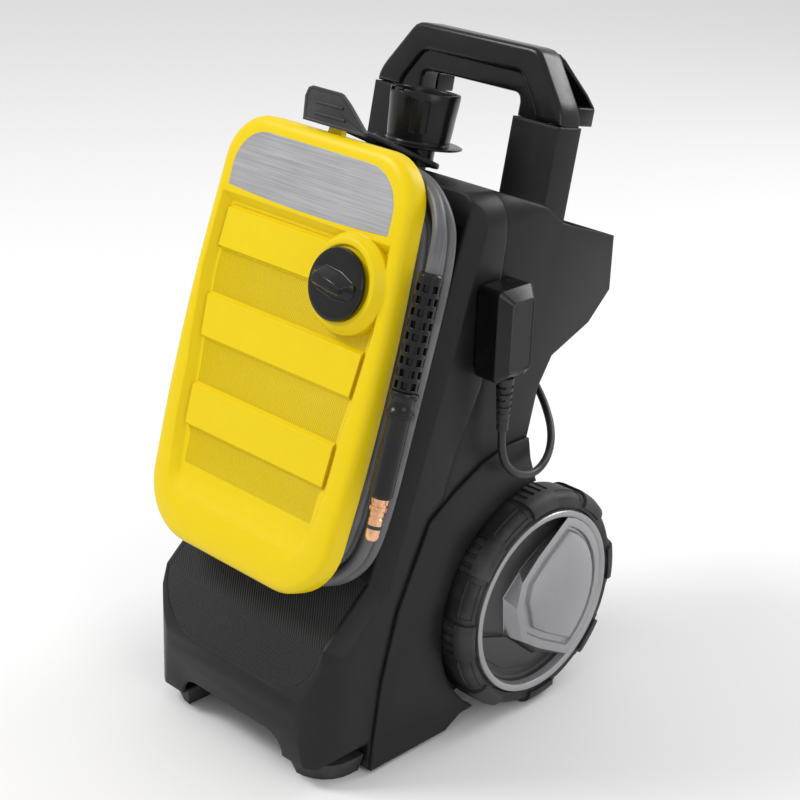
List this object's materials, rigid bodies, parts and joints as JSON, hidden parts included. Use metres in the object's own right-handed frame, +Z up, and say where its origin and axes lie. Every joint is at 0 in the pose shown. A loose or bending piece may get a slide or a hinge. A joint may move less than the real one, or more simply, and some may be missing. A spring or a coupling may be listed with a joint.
{
  "type": "pressure washer",
  "caption": "Upright wheeled pressure washer with a hose wound behind a leaning front cover, a telescopic handle, a rotary switch and a parked mains plug.",
  "frame": {"origin": "on the ground, under the centre of the machine's outline without its lead and hose", "axes": "+Z up, -Y the front with the hose cover, +X the side with the parked mains plug"},
  "size_m": [0.3325, 0.4264, 0.6684],
  "materials": {
    "housing_dark": "fine matte moulded texture",
    "panel_textured": "fine ribbed",
    "foot_rubber": "matte",
    "cover_yellow": "satin moulded",
    "badge_metal": "brushed",
    "knob_black": "glossy",
    "black_plastic": "satin",
    "hose_grey": "smooth",
    "black_rubber": "matte",
    "lead_black": "smooth",
    "tyre_black": "moulded",
    "rim_black": "moulded",
    "hubcap_silver": "silver paint",
    "steel": "turned",
    "cast_alloy": "die cast",
    "copper_winding": "enamelled",
    "brass": "turned",
    "coupling_plastic": "moulded"
  },
  "bodies": {
    "machine": {"front_housing": "housing_dark", "rear_housing": "housing_dark", "base_shell": "housing_dark", "hose_spool_core": "housing_dark", "textured_front_panel": "panel_textured", "foot_pads": "foot_rubber", "motor_mounts": "foot_rubber", "front_cover": "cover_yellow", "badge_plate": "badge_metal", "lance_holder": "black_plastic", "switch_unit": "black_plastic", "plug_holder": "black_plastic", "mains_plug": "black_plastic", "bend_sleeve": "black_plastic", "connector_sleeve": "black_plastic", "lead_hook_upper": "black_plastic", "motor_end_cap": "black_plastic", "hose_coil": "hose_grey", "hose_tail": "hose_grey", "band_loop": "black_rubber", "nipple_ring": "black_rubber", "plug_boot": "black_rubber", "lead_gland": "black_rubber", "mains_lead": "lead_black", "lead_winding": "lead_black", "axle": "steel", "wheel_clips": "steel", "cover_screws": "steel", "motor_bearings": "steel", "inlet_filter": "steel", "motor_housing": "cast_alloy", "gear_housing": "cast_alloy", "cylinder_block": "cast_alloy", "valve_head": "cast_alloy", "unloader_valve": "cast_alloy", "water_pipes": "cast_alloy", "motor_stator": "copper_winding", "brass_nipple": "brass", "pressure_outlet": "brass", "water_inlet": "coupling_plastic", "capacitor": "coupling_plastic"},
    "left_wheel": {"tyre_left": "tyre_black", "wheel_rim_left": "rim_black", "hubcap_left": "hubcap_silver"},
    "right_wheel": {"tyre_right": "tyre_black", "wheel_rim_right": "rim_black", "hubcap_right": "hubcap_silver"},
    "handle": {"handle_grip": "black_plastic", "handle_tubes": "steel"},
    "switch": {"switch_knob": "knob_black", "switch_shaft": "steel"},
    "band": {"band_tab": "black_rubber"},
    "lead_hook": {"lead_hook_lower": "black_plastic"},
    "rotor": {"motor_rotor": "steel", "cooling_fan": "black_plastic", "wobble_plate": "steel"},
    "piston_a": {"piston_1": "steel"},
    "piston_b": {"piston_2": "steel"},
    "piston_c": {"piston_3": "steel"}
  },
  "joints": [
    {"name": "left_wheel_spin", "type": "hinge", "parent": "machine", "child": "left_wheel", "pos_m": [-0.13, 0.078, 0.1195], "axis": [1, 0, 0], "continuous": true},
    {"name": "right_wheel_spin", "type": "hinge", "parent": "machine", "child": "right_wheel", "pos_m": [0.13, 0.078, 0.1195], "axis": [1, 0, 0], "continuous": true},
    {"name": "handle_slide", "type": "slide", "parent": "machine", "child": "handle", "axis": [0, 0.1874, 0.9823], "range_m": [0, 0.18]},
    {"name": "switch_turn", "type": "hinge", "parent": "machine", "child": "switch", "pos_m": [0.072, -0.13924, 0.48713], "axis": [0, -0.9563, 0.2924], "range_deg": [-90, 0]},
    {"name": "band_tab_pull", "type": "hinge", "parent": "machine", "child": "band", "pos_m": [0, -0.08649, 0.61008], "axis": [1, 0, 0], "range_deg": [0, 40], "stiffness_Nm_per_rad": 0.05},
    {"name": "lead_hook_turn", "type": "hinge", "parent": "machine", "child": "lead_hook", "pos_m": [-0.05, 0.1, 0.3123], "axis": [0, 1, 0], "range_deg": [0, 150]},
    {"name": "motor_spin", "type": "hinge", "parent": "machine", "child": "rotor", "pos_m": [0, -0.008, 0.28], "axis": [0, 0, 1], "continuous": true},
    {"name": "piston_a_stroke", "type": "slide", "parent": "machine", "child": "piston_a", "axis": [0, 0, -1], "range_m": [0, 0.008], "stiffness_N_per_m": 1500, "springref_m": -0.002},
    {"name": "piston_b_stroke", "type": "slide", "parent": "machine", "child": "piston_b", "axis": [0, 0, -1], "range_m": [0, 0.008], "stiffness_N_per_m": 1500, "springref_m": -0.002},
    {"name": "piston_c_stroke", "type": "slide", "parent": "machine", "child": "piston_c", "axis": [0, 0, -1], "range_m": [0, 0.008], "stiffness_N_per_m": 1500, "springref_m": -0.002}
  ]
}
